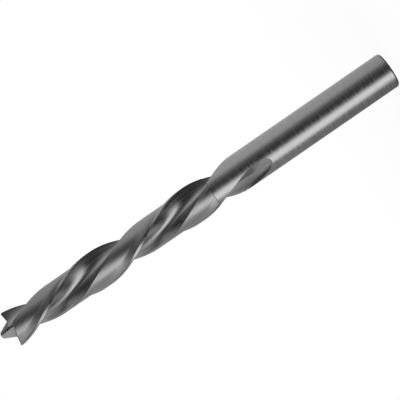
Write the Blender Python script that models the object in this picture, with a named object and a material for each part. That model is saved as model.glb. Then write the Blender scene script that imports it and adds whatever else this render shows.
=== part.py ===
"""Brad point drill bit for wood, one piece of steel.

A round shank, two left-hand flutes, two spurs and a centre point. Lengths are in metres. The bit stands on
the flat end of its shank with the point up. The origin is the centre of that end face, and at the height of
the spurs the two lips lie along X.
"""
import math

import bmesh
import bpy
from mathutils import Vector
from mathutils.geometry import interpolate_bezier

MM = 0.001

# Lengths along the axis: the whole bit, the centre point's rise above the spurs, the plain shank, and the
# run-out of the flutes, which starts where the relief of the lands ends in a short ramp.
OVERALL_LENGTH = 120.0 * MM
BRAD_RISE = 3.0 * MM
SHANK_LENGTH = 38.2 * MM
RUNOUT_LENGTH = 17.0 * MM
RELIEF_RAMP = 0.2 * MM
END_CHAMFER = 0.4 * MM

# Across the axis.
CUTTING_RADIUS = 5.0 * MM
SHANK_RADIUS = 4.9 * MM
LAND_RADIUS = 4.34 * MM

# The helix turns the left-hand way: seen from the point, the section turns clockwise on the way up.
PITCH = 57.8 * MM

# The section of one land, in degrees from its cutting corner: the margin, a small step behind it, the
# hollow slope that the relief wheel leaves below the step, and the relieved land up to the heel.
MARGIN_ANGLE = 8.4
STEP_ANGLE = 0.6
HOLLOW_ANGLE = 22.0
HOLLOW_RISE = 0.42 * MM
HOLLOW_POWER = 1.3
HEEL_ANGLE = 85.0

# The flute: a rounded heel strip, a wall down to the web, and the face up to the next cutting corner.
HEEL_FOOT_ANGLE = 93.2
HEEL_FOOT_RADIUS = 3.75 * MM
WALL_TILT = 92.0
WALL_HANDLE = 3.4 * MM
FACE_TILT = 12.0
FACE_HANDLE = 3.9 * MM

# How the grinding wheel backs out of the flute: which way, how suddenly, and how far past each edge its
# profile is carried on. The last section stands a small gap short of the end, where no depth is left.
RUNOUT_TILT = 83.0
RUNOUT_POWER = 2.1
RUNOUT_GAP = 0.16 * MM
HEEL_CARRY_ON = (6, 3, 1)
FACE_CARRY_ON = (0.5, 1)

# The ground point: lips that rise to the spurs, clearance behind them, and the spurs' broken corners.
SPUR_RADIUS = 4.7 * MM
CORNER_BREAK = 0.2 * MM
BREAK_SLOPE = 0.6
LIP_SLOPE = 10.0
CLEARANCE_SLOPE = 11.0

# The four-sided centre point, its blunter tip and how far its root reaches below the spurs.
BRAD_TIP_DEPTH = 0.25 * MM
BRAD_TIP_HALF_WIDTH = 0.85 * MM
BRAD_FLANK = 0.49
BRAD_FLATNESS = 0.8
BRAD_ROOT = 1.6 * MM

# Heights above the shank's end face.
SPUR_HEIGHT = OVERALL_LENGTH - BRAD_RISE
RUNOUT_END = SHANK_LENGTH
RELIEF_END = SHANK_LENGTH + RUNOUT_LENGTH

# How finely the surfaces are divided, and how far cutting shapes stand clear of the bar.
RING_STEP = 1.3 * MM
MARGIN_PARTS = 3
HOLLOW_PARTS = 4
LAND_PARTS = 12
FLUTE_PARTS = 18
RUNOUT_RINGS = 15
RUNOUT_CROWDING = 1.5
EVENING_RATE = 2.0
FLOOR_PARTS = 24
PROFILE_SAMPLES = 400
TOOL_CLEARANCE = 1.0 * MM
SHARP_ANGLE = 28.0


def polar(radius, degrees):
    """Point of the section plane at a radius and an angle."""
    angle = math.radians(degrees)
    return Vector((radius * math.cos(angle), radius * math.sin(angle)))


def degrees_of(point):
    """Angle of a point of the section plane, from 0 to 360 degrees."""
    return math.degrees(math.atan2(point.y, point.x)) % 360


def measured(points):
    """Running length along a line of points."""
    lengths = [0.0]
    for first, second in zip(points, points[1:]):
        lengths.append(lengths[-1] + (second - first).length)
    return lengths


def point_along(points, lengths, distance):
    """Point of a line of points at a distance from its start."""
    for index in range(1, len(points)):
        if distance <= lengths[index] or index == len(points) - 1:
            span = lengths[index] - lengths[index - 1]
            share = (distance - lengths[index - 1]) / span
            return points[index - 1].lerp(points[index], share)


def flute_curve():
    """The flute from the foot of the heel strip, round the web, to the next cutting corner."""
    foot = polar(HEEL_FOOT_RADIUS, HEEL_FOOT_ANGLE)
    corner = polar(CUTTING_RADIUS, 180)
    wall_handle = foot - polar(WALL_HANDLE, WALL_TILT)
    face_handle = corner + polar(FACE_HANDLE, FACE_TILT)
    knots = [point.to_3d() for point in (foot, wall_handle, face_handle, corner)]
    return [point.to_2d() for point in interpolate_bezier(*knots, PROFILE_SAMPLES)]


CURVE = flute_curve()
WEB_POINT = min(CURVE, key=lambda point: point.length)
FULL_FLUTE = [polar(LAND_RADIUS, HEEL_ANGLE)] + CURVE

# The same profile carried on past both edges, so that it still crosses the bar as the wheel backs out.
HEEL_LINE = polar(SHANK_RADIUS, HEEL_ANGLE) - CURVE[0]
WHEEL = [CURVE[0] + HEEL_LINE * share for share in HEEL_CARRY_ON] + CURVE
WHEEL += [CURVE[-1] - polar(SHANK_RADIUS * share, FACE_TILT) for share in FACE_CARRY_ON]


def way_out(point, direction):
    """How far a point inside the shank's circle is from it in one direction."""
    along = point.dot(direction)
    return math.sqrt(along * along + SHANK_RADIUS ** 2 - point.length_squared) - along


BACK_OUT = polar(1, RUNOUT_TILT)
CLEAR_OF_BAR = max(way_out(point, BACK_OUT) for point in CURVE if point.length < SHANK_RADIUS)


def runout_flute(back_out):
    """The part of the backed-out wheel profile inside the shank's circle, its two ends on the circle."""
    moved = [point + BACK_OUT * back_out for point in WHEEL]
    inside = [index for index, point in enumerate(moved) if point.length < SHANK_RADIUS]
    first, last = inside[0], inside[-1]
    ends = []
    for outer, inner in ((moved[first - 1], moved[first]), (moved[last + 1], moved[last])):
        run = inner - outer
        half = outer.dot(run)
        root = math.sqrt(half * half - run.length_squared * (outer.length_squared - SHANK_RADIUS ** 2))
        ends.append(outer + run * ((-half - root) / run.length_squared))
    return [ends[0]] + moved[first:last + 1] + [ends[1]]


def land_angles():
    """Angles of a land's points: the margin, its step, the hollow slope and the relieved land."""
    angles = [0.0]
    rest = HEEL_ANGLE - MARGIN_ANGLE - STEP_ANGLE - HOLLOW_ANGLE
    spans = [(MARGIN_ANGLE, MARGIN_PARTS), (STEP_ANGLE, 1)]
    spans += [(HOLLOW_ANGLE, HOLLOW_PARTS), (rest, LAND_PARTS)]
    for span, parts in spans:
        start = angles[-1]
        angles += [start + span * (index + 1) / parts for index in range(parts)]
    return angles


ANGLES = land_angles()
FULL_LENGTHS = measured(FULL_FLUTE)
STRIP = FULL_LENGTHS[1]
SHARES = [STRIP + (FULL_LENGTHS[-1] - STRIP) * index / FLUTE_PARTS for index in range(FLUTE_PARTS)]
SHARES = [length / FULL_LENGTHS[-1] for length in SHARES]


def flute_points(line):
    """Points along a flute between its two edges, at fixed shares of its length."""
    lengths = measured(line)
    return [point_along(line, lengths, share * lengths[-1]) for share in SHARES]


def relieved_section():
    """Half of the section where the lands are relieved behind their margins."""
    land = []
    for index, angle in enumerate(ANGLES):
        place = (angle - MARGIN_ANGLE - STEP_ANGLE) / HOLLOW_ANGLE
        radius = LAND_RADIUS + HOLLOW_RISE * (1 - min(1.0, max(0.0, place))) ** HOLLOW_POWER
        if index <= MARGIN_PARTS:
            radius = CUTTING_RADIUS
        land.append(polar(radius, angle))
    return land + flute_points(FULL_FLUTE)


def runout_section(share):
    """Half of the section at a share of the run-out, where the lands have the shank's radius."""
    line = runout_flute(CLEAR_OF_BAR * share ** RUNOUT_POWER)
    start = degrees_of(line[-1]) - 180
    heel = degrees_of(line[0])
    evenness = min(1.0, EVENING_RATE * share)
    land = []
    for index, angle in enumerate(ANGLES):
        uneven_place = angle / HEEL_ANGLE
        even_place = index / (len(ANGLES) - 1)
        place = uneven_place + (even_place - uneven_place) * evenness
        land.append(polar(SHANK_RADIUS, start + (heel - start) * place))
    return land + flute_points(line)


def turned(half, height):
    """Both halves of a section as one ring of points, turned to its place on the helix."""
    angle = 360 * (SPUR_HEIGHT - height) / PITCH
    ring = []
    for extra in (0, 180):
        for point in half:
            place = polar(point.length, degrees_of(point) + angle + extra)
            ring.append(place.to_3d() + Vector((0, 0, height)))
    return ring


def rings():
    """All sections of the bar in order, from the shank's end face to above the point."""
    last = 1 - RUNOUT_GAP / RUNOUT_LENGTH
    closing = turned(runout_section(last), RUNOUT_END)
    shank = [point.to_2d().normalized() for point in closing]
    stack = []
    ends = ((0, SHANK_RADIUS - END_CHAMFER), (END_CHAMFER, SHANK_RADIUS), (RUNOUT_END, SHANK_RADIUS))
    for height, radius in ends:
        stack.append([(place * radius).to_3d() + Vector((0, 0, height)) for place in shank])
    low = RELIEF_END - RELIEF_RAMP / 2
    for index in range(RUNOUT_RINGS + 1):
        share = last * (1 - (index / RUNOUT_RINGS) ** RUNOUT_CROWDING)
        stack.append(turned(runout_section(share), low - (low - RUNOUT_END) * share))
    high = RELIEF_END + RELIEF_RAMP / 2
    top = OVERALL_LENGTH + RING_STEP
    parts = round((top - high) / RING_STEP)
    half = relieved_section()
    for index in range(parts + 1):
        stack.append(turned(half, high + (top - high) * index / parts))
    return stack


def new_object(name, mesh_data):
    """Object made from a finished bmesh."""
    bmesh.ops.recalc_face_normals(mesh_data, faces=mesh_data.faces)
    mesh = bpy.data.meshes.new(name)
    mesh_data.to_mesh(mesh)
    mesh_data.free()
    made = bpy.data.objects.new(name, mesh)
    bpy.context.scene.collection.objects.link(made)
    return made


def fluted_bar():
    """The shank and the fluted body, skinned over the sections."""
    shape = bmesh.new()
    stack = [[shape.verts.new(point) for point in ring] for ring in rings()]
    for below, above in zip(stack, stack[1:]):
        for index in range(len(below)):
            after = (index + 1) % len(below)
            shape.faces.new((below[index], below[after], above[after]))
            shape.faces.new((below[index], above[after], above[index]))
    shape.faces.new(reversed(stack[0]))
    shape.faces.new(stack[-1])
    return new_object("drill_bit", shape)


def ground_floor():
    """What grinding the point leaves: a wide bar with two end planes that fall back behind the lips.

    A cone round them breaks the corners of the spurs.
    """
    lip = math.tan(math.radians(LIP_SLOPE))
    clearance = math.tan(math.radians(CLEARANCE_SLOPE))
    centre_height = SPUR_HEIGHT - SPUR_RADIUS * lip
    parting = degrees_of(WEB_POINT)
    wide_radius = CUTTING_RADIUS + TOOL_CLEARANCE
    neck_height = SPUR_HEIGHT - (TOOL_CLEARANCE + CORNER_BREAK) / BREAK_SLOPE
    cone_reach = CUTTING_RADIUS - CORNER_BREAK + (SPUR_HEIGHT - centre_height) * BREAK_SLOPE
    shape = bmesh.new()
    bottom = []
    neck = []
    edges = []
    for side in (0, 1):
        edge = []
        for index in range(FLOOR_PARTS + 1):
            angle = parting - 180 + 180 * index / FLOOR_PARTS
            unit = polar(1, angle)
            fall = lip * unit.x - clearance * unit.y
            radius = cone_reach / (1 + fall * BREAK_SLOPE)
            place = polar(radius, angle + 180 * side)
            edge.append(shape.verts.new((place.x, place.y, centre_height + radius * fall)))
            if index < FLOOR_PARTS:
                wide = polar(wide_radius, angle + 180 * side)
                bottom.append(shape.verts.new((wide.x, wide.y, -TOOL_CLEARANCE)))
                neck.append(shape.verts.new((wide.x, wide.y, neck_height)))
        edges.append(edge)
    centre = shape.verts.new((0, 0, centre_height))
    count = 2 * FLOOR_PARTS
    for index in range(count):
        after = (index + 1) % count
        edge = edges[index // FLOOR_PARTS]
        place = index % FLOOR_PARTS
        shape.faces.new((bottom[index], bottom[after], neck[after], neck[index]))
        shape.faces.new((neck[index], neck[after], edge[place + 1]))
        shape.faces.new((neck[index], edge[place + 1], edge[place]))
        shape.faces.new((edge[place], edge[place + 1], centre))
    meetings = ((FLOOR_PARTS, edges[0][-1], edges[1][0]), (0, edges[1][-1], edges[0][0]))
    for index, end, start in meetings:
        shape.faces.new((neck[index], start, end))
        shape.faces.new((start, centre, end))
    shape.faces.new(reversed(bottom))
    return new_object("ground_floor", shape)


def brad():
    """The centre point: a four-sided flank under a blunter four-sided tip."""
    root_depth = BRAD_RISE + BRAD_ROOT
    root_half_width = BRAD_TIP_HALF_WIDTH + (root_depth - BRAD_TIP_DEPTH) * BRAD_FLANK
    shape = bmesh.new()
    apex = shape.verts.new((0, 0, OVERALL_LENGTH))
    loops = []
    for depth, half_width in ((BRAD_TIP_DEPTH, BRAD_TIP_HALF_WIDTH), (root_depth, root_half_width)):
        height = OVERALL_LENGTH - depth
        loop = []
        for x, y in ((1, 0), (0, BRAD_FLATNESS), (-1, 0), (0, -BRAD_FLATNESS)):
            loop.append(shape.verts.new((half_width * x, half_width * y, height)))
        loops.append(loop)
    for index in range(4):
        after = (index + 1) % 4
        shape.faces.new((loops[0][index], loops[0][after], apex))
        shape.faces.new((loops[1][index], loops[1][after], loops[0][after], loops[0][index]))
    shape.faces.new(reversed(loops[1]))
    return new_object("brad", shape)


def combine(target, tool, operation):
    """Apply one exact Boolean and remove the tool."""
    tool.hide_render = True
    tool.display_type = "WIRE"
    modifier = target.modifiers.new(operation, "BOOLEAN")
    modifier.operation = operation
    modifier.solver = "EXACT"
    modifier.object = tool
    bpy.context.view_layer.objects.active = target
    bpy.ops.object.modifier_apply(modifier=modifier.name)
    bpy.data.objects.remove(tool)


def steel():
    """Bare ground steel."""
    material = bpy.data.materials.new("steel")
    material.use_nodes = True
    shader = material.node_tree.nodes["Principled BSDF"]
    shader.inputs["Base Color"].default_value = (0.45, 0.45, 0.45, 1)
    shader.inputs["Metallic"].default_value = 1
    shader.inputs["Roughness"].default_value = 0.3
    return material


for thing in list(bpy.data.objects):
    bpy.data.objects.remove(thing)

bit = fluted_bar()
grind = ground_floor()
combine(grind, brad(), "UNION")
combine(bit, grind, "INTERSECT")
bit.data.materials.clear()
bit.data.materials.append(steel())
bit.data.shade_smooth()
bit.data.set_sharp_from_angle(angle=math.radians(SHARP_ANGLE))
print("web radius", round(WEB_POINT.length / MM, 3), "at", round(degrees_of(WEB_POINT), 1))
bit.data.calc_loop_triangles()
print("triangles", len(bit.data.loop_triangles))
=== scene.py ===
# %% [markdown]
# # A brad point drill bit for wood
# The real object is one bar of steel, ground all over: a plain round shank, two helical flutes, two lands that stand
# a little proud along their leading edges, and a point with two spurs round a four-sided brad. This notebook draws it
# finely with Blender's own operators, dresses it as ground steel and shows it in a dark tent, as metal is shown.

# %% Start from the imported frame
import math

import bmesh
import bpy
from mathutils import Matrix, Vector
from mathutils.geometry import interpolate_bezier


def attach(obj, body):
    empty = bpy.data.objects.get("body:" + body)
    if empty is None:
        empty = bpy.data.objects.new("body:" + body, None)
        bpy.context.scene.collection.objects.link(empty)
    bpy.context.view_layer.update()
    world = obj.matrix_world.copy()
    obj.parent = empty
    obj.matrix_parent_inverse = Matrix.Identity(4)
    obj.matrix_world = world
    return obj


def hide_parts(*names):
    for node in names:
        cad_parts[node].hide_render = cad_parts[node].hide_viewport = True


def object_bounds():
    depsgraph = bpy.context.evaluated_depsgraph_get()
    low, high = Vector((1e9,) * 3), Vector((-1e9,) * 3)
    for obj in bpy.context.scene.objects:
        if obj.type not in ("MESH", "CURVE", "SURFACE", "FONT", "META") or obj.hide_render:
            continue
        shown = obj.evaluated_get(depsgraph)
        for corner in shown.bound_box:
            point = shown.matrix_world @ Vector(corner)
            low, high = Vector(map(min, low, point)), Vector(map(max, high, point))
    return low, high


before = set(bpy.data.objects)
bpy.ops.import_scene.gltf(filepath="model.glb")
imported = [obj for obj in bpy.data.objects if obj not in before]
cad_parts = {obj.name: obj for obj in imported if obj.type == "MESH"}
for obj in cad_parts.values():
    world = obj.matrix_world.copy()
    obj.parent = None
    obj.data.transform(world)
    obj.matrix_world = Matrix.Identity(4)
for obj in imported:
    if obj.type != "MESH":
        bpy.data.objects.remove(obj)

cad_low, cad_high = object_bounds()
MM = 0.001
LENGTH = cad_high.z - cad_low.z
print("the plain bit is", round(LENGTH / MM, 2), "mm long and", round((cad_high.x - cad_low.x) / MM, 2), "mm across")

# %% [markdown]
# ## Sizes
# A bit is fully told by a few sizes: the radius across its margins, its shank, the relieved land between margin and
# heel, the pitch of its helix, and where the flutes leave the bar. The margins turn the left-hand way on this bit.
# They are named here once, in millimetres, so that a reader can turn it into another bit by changing them.

# %% The driving sizes
CUTTING_RADIUS = (cad_high.x - cad_low.x) / 2
SHANK_RADIUS = 4.9 * MM
LAND_RADIUS = 4.34 * MM
PITCH = 57.8 * MM
BRAD_RISE = 3.0 * MM
SHANK_LENGTH = 38.2 * MM
RUNOUT_LENGTH = 17.0 * MM
RELIEF_RAMP = 0.1 * MM
END_CHAMFER = 0.4 * MM
SPUR_HEIGHT = LENGTH - BRAD_RISE
RELIEF_END = SHANK_LENGTH + RUNOUT_LENGTH
print("spurs at", round(SPUR_HEIGHT / MM, 1), "mm, relief from", round(RELIEF_END / MM, 1), "mm up")

# %% [markdown]
# ## The section
# Cut across, the bit shows two lands and two flutes. It could be sawn out of a disc by Booleans, but then its edges
# would hold whatever points the saw leaves. Here the outline is laid out point by point instead: a margin on the full
# radius, a small step down, a hollow slope that sinks to the relieved land, a narrow strip that breaks the heel, and
# a Bezier curve for the flute. One half is enough, because the other half is the same, turned by half a turn.

# %% A land and a flute in the section plane
MARGIN_ANGLE, STEP_ANGLE = 8.4, 1.1
HOLLOW_ANGLE, HOLLOW_RISE, HOLLOW_POWER = 22.0, 0.5 * MM, 1.5
HEEL_ANGLE = 85.0
HEEL_FOOT = (3.75 * MM, 93.2)
WALL_TILT, WALL_HANDLE = 92.0, 3.4 * MM
FACE_TILT, FACE_HANDLE = 12.0, 3.9 * MM
MARGIN_PARTS, HOLLOW_PARTS, LAND_PARTS, FLUTE_PARTS = 4, 10, 22, 44
CURVE_POINTS = 600


def polar(radius, degrees):
    angle = math.radians(degrees)
    return Vector((radius * math.cos(angle), radius * math.sin(angle)))


def degrees_of(point):
    return math.degrees(math.atan2(point.y, point.x)) % 360


def flute_curve():
    foot, corner = polar(*HEEL_FOOT), polar(CUTTING_RADIUS, 180)
    knots = (foot, foot - polar(WALL_HANDLE, WALL_TILT), corner + polar(FACE_HANDLE, FACE_TILT), corner)
    knots = [knot.to_3d() for knot in knots]
    return [point.to_2d() for point in interpolate_bezier(*knots, CURVE_POINTS)]


CURVE = flute_curve()
WEB_POINT = min(CURVE, key=lambda point: point.length)
print("the web left between the flutes is", round(2 * WEB_POINT.length / MM, 2), "mm thick")

# %% [markdown]
# Near its end a flute gets shallower, because the grinding wheel that cuts it backs out of the bar while the bar still
# turns. The same outline does this by moving sideways: what is left of it inside the shank's circle is the flute at
# that height. It is carried on past both its edges, so that it still crosses the bar as it moves. The points are
# spread along it at fixed shares of its length, so that every ring has the same number.

# %% The flute where the wheel backs out
RUNOUT_TILT = 83.0
RUNOUT_POWER = 2.1
BACK_OUT = polar(1, RUNOUT_TILT)
HEEL_CARRY_ON, FACE_CARRY_ON = (6, 3, 1), (0.5, 1)
heel_line = polar(SHANK_RADIUS, HEEL_ANGLE) - CURVE[0]
WHEEL = [CURVE[0] + heel_line * share for share in HEEL_CARRY_ON] + CURVE
WHEEL += [CURVE[-1] - polar(SHANK_RADIUS * share, FACE_TILT) for share in FACE_CARRY_ON]


def way_out(point):
    along = point.dot(BACK_OUT)
    return math.sqrt(along * along + SHANK_RADIUS ** 2 - point.length_squared) - along


CLEAR_OF_BAR = max(way_out(point) for point in CURVE if point.length < SHANK_RADIUS)
print("the wheel backs out by", round(CLEAR_OF_BAR / MM, 2), "mm until it is clear of the bar")


# %% Where the wheel's outline crosses the bar
def crossing(outer, inner):
    run = inner - outer
    half = outer.dot(run)
    root = math.sqrt(half * half - run.length_squared * (outer.length_squared - SHANK_RADIUS ** 2))
    return outer + run * ((-half - root) / run.length_squared)


def runout_flute(back_out):
    moved = [point + BACK_OUT * back_out for point in WHEEL]
    inside = [index for index, point in enumerate(moved) if point.length < SHANK_RADIUS]
    first, last = inside[0], inside[-1]
    start, end = crossing(moved[first - 1], moved[first]), crossing(moved[last + 1], moved[last])
    return [start] + moved[first:last + 1] + [end]


# %% Points along a flute, and along a land
def spread(line):
    lengths = [0.0]
    for first, second in zip(line, line[1:]):
        lengths.append(lengths[-1] + (second - first).length)
    strip = STRIP_SHARE * lengths[-1]
    wanted = [0.0, strip / 2] + [strip + (lengths[-1] - strip) * i / FLUTE_PARTS for i in range(FLUTE_PARTS)]
    points, index = [], 1
    for distance in wanted:
        while lengths[index] < distance:
            index += 1
        share = (distance - lengths[index - 1]) / (lengths[index] - lengths[index - 1])
        points.append(line[index - 1].lerp(line[index], share))
    return points


FULL_FLUTE = [polar(LAND_RADIUS, HEEL_ANGLE)] + CURVE
STRIP = (FULL_FLUTE[1] - FULL_FLUTE[0]).length
STRIP_SHARE = STRIP / (STRIP + sum((b - a).length for a, b in zip(CURVE, CURVE[1:])))
LAND = [(MARGIN_ANGLE * i / MARGIN_PARTS, CUTTING_RADIUS) for i in range(MARGIN_PARTS + 1)]
for i in range(HOLLOW_PARTS + 1):
    rise = HOLLOW_RISE * (1 - i / HOLLOW_PARTS) ** HOLLOW_POWER
    LAND.append((MARGIN_ANGLE + STEP_ANGLE + HOLLOW_ANGLE * i / HOLLOW_PARTS, LAND_RADIUS + rise))
last_angle = LAND[-1][0]
rest = HEEL_ANGLE - last_angle
LAND += [(last_angle + rest * (i + 1) / LAND_PARTS, LAND_RADIUS) for i in range(LAND_PARTS)]
print("a land has", len(LAND), "points, its hollow slope ends at", round(last_angle, 1), "degrees")

# %% Half a section, and a whole ring of points
EVENING_RATE = 2


def relieved_half():
    return [polar(radius, angle) for angle, radius in LAND[:-1]] + spread(FULL_FLUTE)


def runout_half(share):
    line = runout_flute(CLEAR_OF_BAR * share ** RUNOUT_POWER)
    start, heel = degrees_of(line[-1]) - 180, degrees_of(line[0])
    evenness = min(1.0, EVENING_RATE * share)
    points = []
    for index, (angle, _) in enumerate(LAND[:-1]):
        place = angle / HEEL_ANGLE
        place += (index / (len(LAND) - 1) - place) * evenness
        points.append(polar(SHANK_RADIUS, start + (heel - start) * place))
    return points + spread(line)


def ring(half, height):
    angle = 360 * (SPUR_HEIGHT - height) / PITCH
    points = []
    for extra in (0, 180):
        for point in half:
            turned = polar(point.length, degrees_of(point) + angle + extra)
            points.append(turned.to_3d() + Vector((0, 0, height)))
    return points


COUNT = 2 * len(relieved_half())
print("each ring has", COUNT, "points")

# %% [markdown]
# ## The bar and its flutes
# A helical body can be made with a Screw modifier, but the Screw keeps one section, and this one changes where the
# flutes run out. So the body grows ring by ring: a circle is filled, its face is extruded a little further up the
# axis, and the new ring is laid on the section for that height. The points carry a number, which an extrusion copies,
# so that each one finds its place in the next ring. The corners of the spurs are slightly broken, and this is done in
# the same rings: just below the spurs the bar starts to lean in, and no point may stand further out than that.

# %% Heights of the rings
RUNOUT_RINGS = 60
RING_STEP = 0.42 * MM
RUNOUT_CROWDING = 1.3
LAST_SHARE = 0.993
CORNER_DEPTH, CORNER_SLOPE = 0.33 * MM, 0.6
CORNER_START = SPUR_HEIGHT - CORNER_DEPTH


def dressed(point):
    limit = CUTTING_RADIUS - max(0, point.z - CORNER_START) * CORNER_SLOPE
    across = point.xy * min(1, limit / point.xy.length)
    return Vector((*across, point.z))


def ring_stack():
    closing = [point.to_2d().normalized() for point in ring(runout_half(LAST_SHARE), SHANK_LENGTH)]
    stack = []
    ends = ((0, SHANK_RADIUS - END_CHAMFER), (END_CHAMFER, SHANK_RADIUS), (SHANK_LENGTH, SHANK_RADIUS))
    for height, radius in ends:
        stack.append([(place * radius).to_3d() + Vector((0, 0, height)) for place in closing])
    low, high = RELIEF_END - RELIEF_RAMP / 2, RELIEF_END + RELIEF_RAMP / 2
    for index in range(RUNOUT_RINGS + 1):
        share = LAST_SHARE * (1 - (index / RUNOUT_RINGS) ** RUNOUT_CROWDING)
        stack.append(ring(runout_half(share), low - (low - SHANK_LENGTH) * share))
    half = relieved_half()
    for start, end in ((high, CORNER_START), (CORNER_START, LENGTH + 2 * RING_STEP)):
        parts = round((end - start) / RING_STEP)
        stack += [ring(half, start + (end - start) * index / parts) for index in range(start > high, parts + 1)]
    return [[dressed(point) for point in points] for points in stack]


print("the bit grows in", len(ring_stack()), "rings")


# %% A clean start for every new piece
def nothing_selected():
    if bpy.context.object and bpy.context.object.mode != "OBJECT":
        bpy.ops.object.mode_set(mode="OBJECT")
    bpy.ops.object.select_all(action="DESELECT")


def named(name):
    made = bpy.context.active_object
    made.name = made.data.name = name
    return made


def select_faces(thing, wanted):
    bpy.ops.mesh.select_all(action="DESELECT")
    shape = bmesh.from_edit_mesh(thing.data)
    for face in shape.faces:
        if wanted(face):
            face.select_set(True)
    bmesh.update_edit_mesh(thing.data)


# %% Extrude the bit, ring by ring
def grown_bar():
    nothing_selected()
    bpy.ops.mesh.primitive_circle_add(vertices=COUNT, radius=SHANK_RADIUS, fill_type="NGON")
    bar = named("ground_bit")
    bar.data.attributes.new("place", "INT", "POINT").data.foreach_set("value", range(COUNT))
    bpy.ops.object.mode_set(mode="EDIT")
    stack = ring_stack()
    for level, points in enumerate(stack):
        bpy.ops.mesh.extrude_region_move() if level else bpy.ops.mesh.select_all(action="SELECT")
        shape = bmesh.from_edit_mesh(bar.data)
        number = shape.verts.layers.int["place"]
        for vertex in shape.verts:
            if vertex.select:
                vertex.co = points[vertex[number]]
        bmesh.update_edit_mesh(bar.data)
    bpy.ops.mesh.select_all(action="SELECT")
    bpy.ops.mesh.normals_make_consistent(inside=False)
    bpy.ops.object.mode_set(mode="OBJECT")
    return bar


bit = grown_bar()
print("the fluted bar has", len(bit.data.polygons), "faces")

# %% [markdown]
# ## Grinding the point
# On the real bit a wheel sweeps down each side of the brad: it leaves a lip that rises to a spur at the rim, a floor
# that falls back behind the lip so that only the lip touches the wood, and one side of the brad. Each wheel is
# modelled as the solid it takes away, half a disc with a tilted underside and a four-sided notch for the brad, and
# the second is the first one turned by half a turn.

# %% The brad, a four-sided cone with a blunter tip
BRAD_TIP_DEPTH, BRAD_TIP_HALF_WIDTH = 0.25 * MM, 0.85 * MM
BRAD_FLANK = 0.49
BRAD_FLATNESS = 0.8
BRAD_ROOT_DEPTH = BRAD_RISE + 1.6 * MM


def brad():
    nothing_selected()
    depth = BRAD_ROOT_DEPTH - BRAD_TIP_DEPTH
    root_half_width = BRAD_TIP_HALF_WIDTH + depth * BRAD_FLANK
    middle = LENGTH - BRAD_TIP_DEPTH - depth / 2
    bpy.ops.mesh.primitive_cone_add(
        vertices=4, radius1=root_half_width, radius2=BRAD_TIP_HALF_WIDTH, depth=depth, location=(0, 0, middle))
    made = named("brad_notch")
    bpy.ops.object.transform_apply(location=True, rotation=True, scale=True)
    bpy.ops.object.mode_set(mode="EDIT")
    select_faces(made, lambda face: face.normal.z > 0.9)
    bpy.ops.mesh.extrude_region_move(TRANSFORM_OT_translate={"value": (0, 0, BRAD_TIP_DEPTH)})
    bpy.ops.mesh.merge(type="CENTER")
    bpy.ops.mesh.select_all(action="SELECT")
    bpy.ops.transform.resize(value=(1, BRAD_FLATNESS, 1), center_override=(0, 0, 0))
    bpy.ops.object.mode_set(mode="OBJECT")
    return made


# %% One wheel, and the same wheel half a turn on
LIP_SLOPE = math.tan(math.radians(10.0))
CLEARANCE_SLOPE = math.tan(math.radians(11.0))
SPUR_RADIUS = 4.7 * MM
FLOOR_CENTRE = Vector((0, 0, SPUR_HEIGHT - SPUR_RADIUS * LIP_SLOPE))
FLOOR_NORMAL = Vector((-LIP_SLOPE, CLEARANCE_SLOPE, 1)).normalized()
PARTING = degrees_of(WEB_POINT)
OVERLAP = 0.1 * MM


def boolean(target, tool, operation):
    nothing_selected()
    target.select_set(True)
    bpy.context.view_layer.objects.active = target
    modifier = target.modifiers.new(operation, "BOOLEAN")
    modifier.operation, modifier.solver, modifier.object = operation, "EXACT", tool
    bpy.ops.object.modifier_apply(modifier=modifier.name)


def wheel(turn, notch):
    nothing_selected()
    bpy.ops.mesh.primitive_cylinder_add(
        vertices=64, radius=2 * CUTTING_RADIUS, depth=3 * CUTTING_RADIUS, location=FLOOR_CENTRE)
    made = named("wheel")
    bpy.ops.object.transform_apply(location=True, rotation=True, scale=True)
    bpy.ops.object.mode_set(mode="EDIT")
    bpy.ops.mesh.select_all(action="SELECT")
    bpy.ops.mesh.bisect(plane_co=FLOOR_CENTRE, plane_no=FLOOR_NORMAL, use_fill=True, clear_inner=True)
    bpy.ops.mesh.select_all(action="SELECT")
    across = polar(1, PARTING + 90).to_3d()
    bpy.ops.mesh.bisect(plane_co=across * OVERLAP, plane_no=across, use_fill=True, clear_outer=True)
    bpy.ops.mesh.select_all(action="SELECT")
    bpy.ops.transform.rotate(value=turn, orient_axis="Z", center_override=(0, 0, 0))
    bpy.ops.mesh.normals_make_consistent(inside=False)
    bpy.ops.object.mode_set(mode="OBJECT")
    boolean(made, notch, "DIFFERENCE")
    return made


notch = brad()
for turn in (0, math.pi):
    tool = wheel(turn, notch)
    boolean(bit, tool, "DIFFERENCE")
    bpy.data.objects.remove(tool)
bpy.data.objects.remove(notch)
print("after the wheels it has", len(bit.data.polygons), "faces")

# %% [markdown]
# ## Smooth and sharp
# A ground flute is smooth, but its lips, spurs and margins are crisp. With flat facets the reflections would break
# into stripes, and with everything smoothed the edges would look melted. Smoothing by angle keeps an edge sharp where
# its two faces meet more steeply than the facets of a curve do.

# %% Smooth what the wheels left smooth
SHARP_FROM = 14
nothing_selected()
bit.select_set(True)
bpy.context.view_layer.objects.active = bit
bpy.ops.object.shade_smooth_by_angle(angle=math.radians(SHARP_FROM))
print("edges stay sharp from", SHARP_FROM, "degrees, on", len(bit.data.polygons), "faces")
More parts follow.
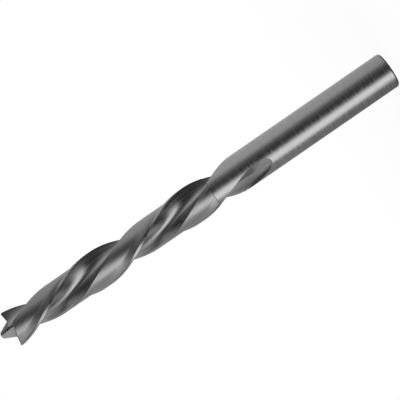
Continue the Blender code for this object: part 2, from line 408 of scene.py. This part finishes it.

# %% [markdown]
# ## Ground steel
# Bare steel is one metal, but each wheel leaves its own lines and its own gloss. The shank and the margins are ground
# round and round and shine most, the flutes and the relieved lands are ground along the helix and are duller, and the
# point, dressed last by a fine wheel, shines least. Its steel is also painted paler than the rest, which is painted
# light: it lightens the point's facets. The lines could be drawn as a picture, but a noise stretched the way the wheel
# went gives them at every size. Round the bar it is stretched across and changes only with height. Along the helix the
# coordinates are first turned back with height, which straightens the twist, and then stretched along the axis.

# %% Helpers for the steel's node trees
STEEL = (0.42, 0.42, 0.425)
# The point's colour is painted paler than the plain steel: painted light on its facets, not a paler metal.
PAINTED_PALER_STEEL = (0.72, 0.72, 0.725)
SHADE_SPREAD = 0.11
NOISE_RANGE = (0.38, 0.62)
LINE_DETAIL = 4
LINE_HEIGHT = 0.01 * MM


def steel(name, roughness):
    material = bpy.data.materials.new(name)
    material.use_nodes = True
    shader = material.node_tree.nodes["Principled BSDF"]
    shader.inputs["Metallic"].default_value = 1
    shader.inputs["Roughness"].default_value = roughness
    return material, material.node_tree, shader


def place(tree, kind, **values):
    node = tree.nodes.new(kind)
    for name, value in values.items():
        setattr(node, name, value)
    return node


def grinding_lines(tree, shader, colour, vector, stretch, lines_per_metre, depth, gloss_spread):
    mapping = place(tree, "ShaderNodeMapping")
    mapping.inputs["Scale"].default_value = stretch
    tree.links.new(vector, mapping.inputs["Vector"])
    noise = place(tree, "ShaderNodeTexNoise")
    noise.inputs["Scale"].default_value = lines_per_metre
    noise.inputs["Detail"].default_value = LINE_DETAIL
    tree.links.new(mapping.outputs["Vector"], noise.inputs["Vector"])
    bump = place(tree, "ShaderNodeBump")
    bump.inputs["Strength"].default_value = depth
    bump.inputs["Distance"].default_value = LINE_HEIGHT
    tree.links.new(noise.outputs["Fac"], bump.inputs["Height"])
    tree.links.new(bump.outputs["Normal"], shader.inputs["Normal"])
    middle = shader.inputs["Roughness"].default_value
    gloss = place(tree, "ShaderNodeMapRange")
    gloss.inputs["From Min"].default_value, gloss.inputs["From Max"].default_value = NOISE_RANGE
    gloss.inputs["To Min"].default_value = middle - gloss_spread
    gloss.inputs["To Max"].default_value = middle + gloss_spread
    tree.links.new(noise.outputs["Fac"], gloss.inputs["Value"])
    tree.links.new(gloss.outputs["Result"], shader.inputs["Roughness"])
    shade = place(tree, "ShaderNodeValToRGB")
    shares = (1 - SHADE_SPREAD, 1 + SHADE_SPREAD)
    for stop, position, share in zip(shade.color_ramp.elements, NOISE_RANGE, shares):
        stop.position = position
        stop.color = (*[value * share for value in colour], 1)
    tree.links.new(noise.outputs["Fac"], shade.inputs["Fac"])
    tree.links.new(shade.outputs["Color"], shader.inputs["Base Color"])


# %% Ground round and round: the shank and the margins
def round_steel():
    material, tree, shader = steel("round_ground_steel", 0.24)
    coordinates = place(tree, "ShaderNodeTexCoord")
    grinding_lines(tree, shader, STEEL, coordinates.outputs["Object"],
                   stretch=(0.12, 0.12, 1), lines_per_metre=2000, depth=0.5, gloss_spread=0.07)
    return material


# %% Ground along the helix: the flutes, and more coarsely the relieved lands
def helix_steel(name, roughness, depth):
    material, tree, shader = steel(name, roughness)
    coordinates = place(tree, "ShaderNodeTexCoord")
    parts = place(tree, "ShaderNodeSeparateXYZ")
    tree.links.new(coordinates.outputs["Object"], parts.inputs["Vector"])
    turn = place(tree, "ShaderNodeMath", operation="MULTIPLY")
    turn.inputs[1].default_value = 2 * math.pi / PITCH
    tree.links.new(parts.outputs["Z"], turn.inputs[0])
    untwist = place(tree, "ShaderNodeVectorRotate", rotation_type="Z_AXIS")
    tree.links.new(coordinates.outputs["Object"], untwist.inputs["Vector"])
    tree.links.new(turn.outputs["Value"], untwist.inputs["Angle"])
    grinding_lines(tree, shader, STEEL, untwist.outputs["Vector"],
                   stretch=(1, 1, 0.05), lines_per_metre=1500, depth=depth, gloss_spread=0.07)
    return material


# %% Dressed by a fine wheel: the point
def point_steel():
    material, tree, shader = steel("point_steel", 0.66)
    coordinates = place(tree, "ShaderNodeTexCoord")
    # the colour is steel painted paler, painted light that brightens the point's facets
    grinding_lines(tree, shader, PAINTED_PALER_STEEL, coordinates.outputs["Object"],
                   stretch=(0.2, 1, 1), lines_per_metre=3000, depth=0.4, gloss_spread=0.06)
    return material


# %% Give each ground surface its own steel
FINISHES = {
    "round": round_steel(),
    "flute": helix_steel("flute_steel", roughness=0.29, depth=0.5),
    "land": helix_steel("land_steel", roughness=0.36, depth=0.7),
    "point": point_steel(),
}


# A face counts as on a circle from this share of its radius, and as turned some way from this much of its normal.
ON_THE_SHANK, ON_A_CIRCLE = 0.9985, 0.995
END_FACE_UPWARD, FLOOR_UPWARD, LAND_OUTWARD = 0.5, 0.3, 0.8
POINT_DEPTH = 2 * MM


def finish_of(face):
    centre, upward = face.center, face.normal.z
    radius = centre.xy.length
    if centre.z < RELIEF_END:
        return "round" if radius > SHANK_RADIUS * ON_THE_SHANK or abs(upward) > END_FACE_UPWARD else "flute"
    if centre.z > SPUR_HEIGHT - POINT_DEPTH and (upward > FLOOR_UPWARD or centre.z > SPUR_HEIGHT):
        return "point"
    if radius < LAND_RADIUS * ON_A_CIRCLE or face.normal.xy.dot(centre.xy.normalized()) < LAND_OUTWARD:
        return "flute"
    return "round" if radius > CUTTING_RADIUS * ON_A_CIRCLE else "land"


bit.data.materials.clear()
for material in FINISHES.values():
    bit.data.materials.append(material)
order = list(FINISHES)
counts = dict.fromkeys(order, 0)
for face in bit.data.polygons:
    finish = finish_of(face)
    face.material_index = order.index(finish)
    counts[finish] += 1
print("faces of each finish:", counts)
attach(bit, "root")
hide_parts("drill_bit")

# %% [markdown]
# ## The table
# The bit stands on a pale table in white surroundings, and its soft shadow has to stay on the floor. More light would
# bleach that shadow, so the white is a colour instead: Light Path tells the floor and the world when they are looked
# at, and they mix white in then. The share grows with the distance from the bit, until the floor meets the white.

# %% When the surroundings are looked at
def background_share(tree):
    path = place(tree, "ShaderNodeLightPath")
    share = None
    for name in ("Is Camera Ray", "Is Glossy Ray", "Is Transmission Ray"):
        if share is None:
            share = path.outputs[name]
            continue
        add = place(tree, "ShaderNodeMath", operation="MAXIMUM")
        tree.links.new(share, add.inputs[0])
        tree.links.new(path.outputs[name], add.inputs[1])
        share = add.outputs["Value"]
    return share


# %% The floor
FLOOR_SIZE, FLOOR_PAINT = 6, 0.9
WHITER_FROM, WHITER_TO = (0.03, 0.85), (0.25, 1)

nothing_selected()
bpy.ops.mesh.primitive_plane_add(size=FLOOR_SIZE, location=(0, 0, 0))
floor = named("floor")
material = bpy.data.materials.new("pale_floor")
material.use_nodes = True
tree = material.node_tree
tree.nodes.clear()
paint = place(tree, "ShaderNodeBsdfDiffuse")
paint.inputs["Color"].default_value = (FLOOR_PAINT, FLOOR_PAINT, FLOOR_PAINT, 1)
white = place(tree, "ShaderNodeEmission")
white.inputs["Strength"].default_value = 1
coordinates = place(tree, "ShaderNodeTexCoord")
away = place(tree, "ShaderNodeVectorMath", operation="LENGTH")
tree.links.new(coordinates.outputs["Object"], away.inputs[0])
whiten = place(tree, "ShaderNodeMapRange")
whiten.inputs["From Min"].default_value, whiten.inputs["To Min"].default_value = WHITER_FROM
whiten.inputs["From Max"].default_value, whiten.inputs["To Max"].default_value = WHITER_TO
tree.links.new(away.outputs["Value"], whiten.inputs["Value"])
keep = place(tree, "ShaderNodeMath", operation="MULTIPLY")
tree.links.new(whiten.outputs["Result"], keep.inputs[1])
tree.links.new(background_share(tree), keep.inputs[0])
mix = place(tree, "ShaderNodeMixShader")
tree.links.new(keep.outputs["Value"], mix.inputs["Fac"])
tree.links.new(paint.outputs["BSDF"], mix.inputs[1])
tree.links.new(white.outputs["Emission"], mix.inputs[2])
output = place(tree, "ShaderNodeOutputMaterial")
tree.links.new(mix.outputs["Shader"], output.inputs["Surface"])
floor.data.materials.append(material)
floor.visible_glossy = False
print("the floor is", FLOOR_SIZE, "m wide and turns fully white", WHITER_TO[0], "m away")

# %% The world: white to look at, soft grey as a light
WORLD_LIGHT = 0.75
world = bpy.data.worlds.new("studio")
bpy.context.scene.world = world
world.use_nodes = True
tree = world.node_tree
tree.nodes.clear()
soft = place(tree, "ShaderNodeBackground")
soft.inputs["Strength"].default_value = WORLD_LIGHT
white = place(tree, "ShaderNodeBackground")
white.inputs["Strength"].default_value = 1
for node in (soft, white):
    node.inputs["Color"].default_value = (1, 1, 1, 1)
mix = place(tree, "ShaderNodeMixShader")
tree.links.new(background_share(tree), mix.inputs["Fac"])
tree.links.new(soft.outputs["Background"], mix.inputs[1])
tree.links.new(white.outputs["Background"], mix.inputs[2])
output = place(tree, "ShaderNodeOutputWorld")
tree.links.new(mix.outputs["Shader"], output.inputs["Surface"])
print("the world lights at strength", WORLD_LIGHT)

# %% [markdown]
# ## The tent
# Polished steel is a mirror, so its picture is the picture of what stands round it. It is shown in a tent of dark
# cloth with soft windows, because plain cards would leave hard edges in the shine. Here the tent is a sphere that
# only reflections see. Its cloth glows as a sum of soft patches, each with a middle, a half width and a hardness both
# sideways and upwards, and a brightness: a key window beside the lens, a small lamp below it, sheets round the back.

# %% A soft patch of light on the tent's cloth
def maths(tree, operation, *values):
    node = place(tree, "ShaderNodeMath", operation=operation)
    for socket, value in zip(node.inputs, values):
        if isinstance(value, bpy.types.NodeSocket):
            tree.links.new(value, socket)
        else:
            socket.default_value = value
    return node.outputs["Value"]


def soft_edge(tree, angle, middle, half_width, hardness):
    turned = maths(tree, "WRAP", maths(tree, "SUBTRACT", angle, middle), 180.0, -180.0)
    away = maths(tree, "DIVIDE", maths(tree, "ABSOLUTE", turned), half_width)
    return maths(tree, "EXPONENT", maths(tree, "MULTIPLY", maths(tree, "POWER", away, hardness), -1.0))


def patch(tree, turn, rise, where):
    sideways, upwards, brightness = where
    across, upright = soft_edge(tree, turn, *sideways), soft_edge(tree, rise, *upwards)
    return maths(tree, "MULTIPLY", maths(tree, "MULTIPLY", across, upright), brightness)


# %% Where the patches are: degrees from the lens towards the picture's lower right, and degrees above the horizon
PATCHES = {
    "key_window": ((43, 25, 3), (-6, 21, 3), 1.28),
    "key_glow": ((56, 34, 2), (3, 24, 2), 0.26),
    "small_lamp": ((33, 11, 2), (-20, 6, 2), 0.9),
    "high_window": ((72, 12, 2), (42, 7, 3), 0.5),
    "rear_sheet": ((180, 45, 3), (35, 15, 2), 0.3),
    "side_sheet": ((-114, 64, 6), (-3, 17, 3), 0.63),
    "side_edge": ((-46, 24, 3), (4, 20, 2), 0.15),
    "back_sheet": ((135, 62, 4), (12, 24, 3), 0.4),
    "roof_sheet": ((52, 55, 4), (45, 28, 2), 0.3),
}
BLACK_CLOTH = 0.065

# %% The tent
VIEW_AZIMUTH = -8.3
TENT_RADIUS = 1.2
TENT_HEIGHT = 58 * MM

nothing_selected()
bpy.ops.mesh.primitive_uv_sphere_add(segments=48, ring_count=24, radius=TENT_RADIUS, location=(0, 0, TENT_HEIGHT))
tent = named("tent")
bpy.ops.object.transform_apply(location=True, rotation=True, scale=True)
material = bpy.data.materials.new("tent_cloth")
material.use_nodes = True
tree = material.node_tree
tree.nodes.clear()
coordinates = place(tree, "ShaderNodeTexCoord")
parts = place(tree, "ShaderNodeSeparateXYZ")
tree.links.new(coordinates.outputs["Object"], parts.inputs["Vector"])
lens = math.radians(VIEW_AZIMUTH - 90)
ahead = maths(tree, "ADD", maths(tree, "MULTIPLY", parts.outputs["X"], math.cos(lens)),
              maths(tree, "MULTIPLY", parts.outputs["Y"], math.sin(lens)))
aside = maths(tree, "ADD", maths(tree, "MULTIPLY", parts.outputs["X"], math.sin(lens)),
              maths(tree, "MULTIPLY", parts.outputs["Y"], -math.cos(lens)))
turn = maths(tree, "DEGREES", maths(tree, "ARCTAN2", aside, ahead))
height = maths(tree, "DIVIDE", maths(tree, "SUBTRACT", parts.outputs["Z"], TENT_HEIGHT), TENT_RADIUS)
rise = maths(tree, "DEGREES", maths(tree, "ARCSINE", height))
light = BLACK_CLOTH
for where in PATCHES.values():
    light = maths(tree, "ADD", light, patch(tree, turn, rise, where))
glow = place(tree, "ShaderNodeEmission")
tree.links.new(light, glow.inputs["Strength"])
output = place(tree, "ShaderNodeOutputMaterial")
tree.links.new(glow.outputs["Emission"], output.inputs["Surface"])
tent.data.materials.append(material)
tent.visible_camera = tent.visible_diffuse = tent.visible_shadow = tent.visible_transmission = False
print("the tent has", len(PATCHES), "soft patches")

# %% [markdown]
# ## One soft lamp
# The tent only lights what shines. The floor needs a lamp of its own to hold the bit's shadow, and a wide disc makes
# that shadow soft. It is hidden from reflections, where it would show as a round white spot.

# %% A disc of light above and in front
LAMP_PLACE, LAMP_AIM = (0.25, -0.35, 0.75), Vector((0, 0, 0.06))
LAMP_SIZE, LAMP_POWER = 0.7, 2.5

nothing_selected()
bpy.ops.object.light_add(type="AREA", location=LAMP_PLACE)
lamp = bpy.context.active_object
lamp.name = "soft_lamp"
lamp.data.shape, lamp.data.size = "DISK", LAMP_SIZE
lamp.data.energy = LAMP_POWER
lamp.rotation_euler = (LAMP_AIM - lamp.location).to_track_quat("-Z", "Y").to_euler()
lamp.visible_glossy = lamp.visible_camera = False
print("the lamp is", LAMP_SIZE, "m across, at", LAMP_POWER, "W")

# %% [markdown]
# ## The camera
# The photograph has the bit slanting across it, point at the lower left. The bit itself stays upright, as it stands
# on its shank, so the camera rolls instead. Its distance comes from the small bulge of the shank's end rim.

# %% Aim, roll and distance
PICTURE_WIDTH = 102.0 * MM
LENS, SENSOR_WIDTH = 150, 36
ELEVATION = 1.2
ROLL = 214.57
TARGET_HEIGHT = 58.67 * MM
TARGET_OFFSET = 0.10 * MM
across, up = math.radians(VIEW_AZIMUTH), math.radians(ELEVATION)
back = Vector((math.sin(across) * math.cos(up), -math.cos(across) * math.cos(up), math.sin(up)))
side = Vector((math.cos(across), math.sin(across), 0))
axis = back.cross(side)
roll = math.radians(ROLL)
right = axis * math.cos(roll) + side * math.cos(roll - math.pi / 2)
upward = axis * math.sin(roll) + side * math.sin(roll - math.pi / 2)
distance = PICTURE_WIDTH * LENS / SENSOR_WIDTH
target = Vector((0, 0, TARGET_HEIGHT)) - side * TARGET_OFFSET
bpy.ops.object.camera_add(location=(0, 0, 0))
camera = bpy.context.active_object
camera.data.lens = LENS
camera.data.clip_start = 0.01
facing = Matrix((right, upward, back)).transposed().to_4x4()
camera.matrix_world = Matrix.Translation(target + back * distance) @ facing
bpy.context.scene.camera = camera
bpy.context.scene.view_settings.view_transform = "Standard"
print("the camera stands", round(distance / MM), "mm away")
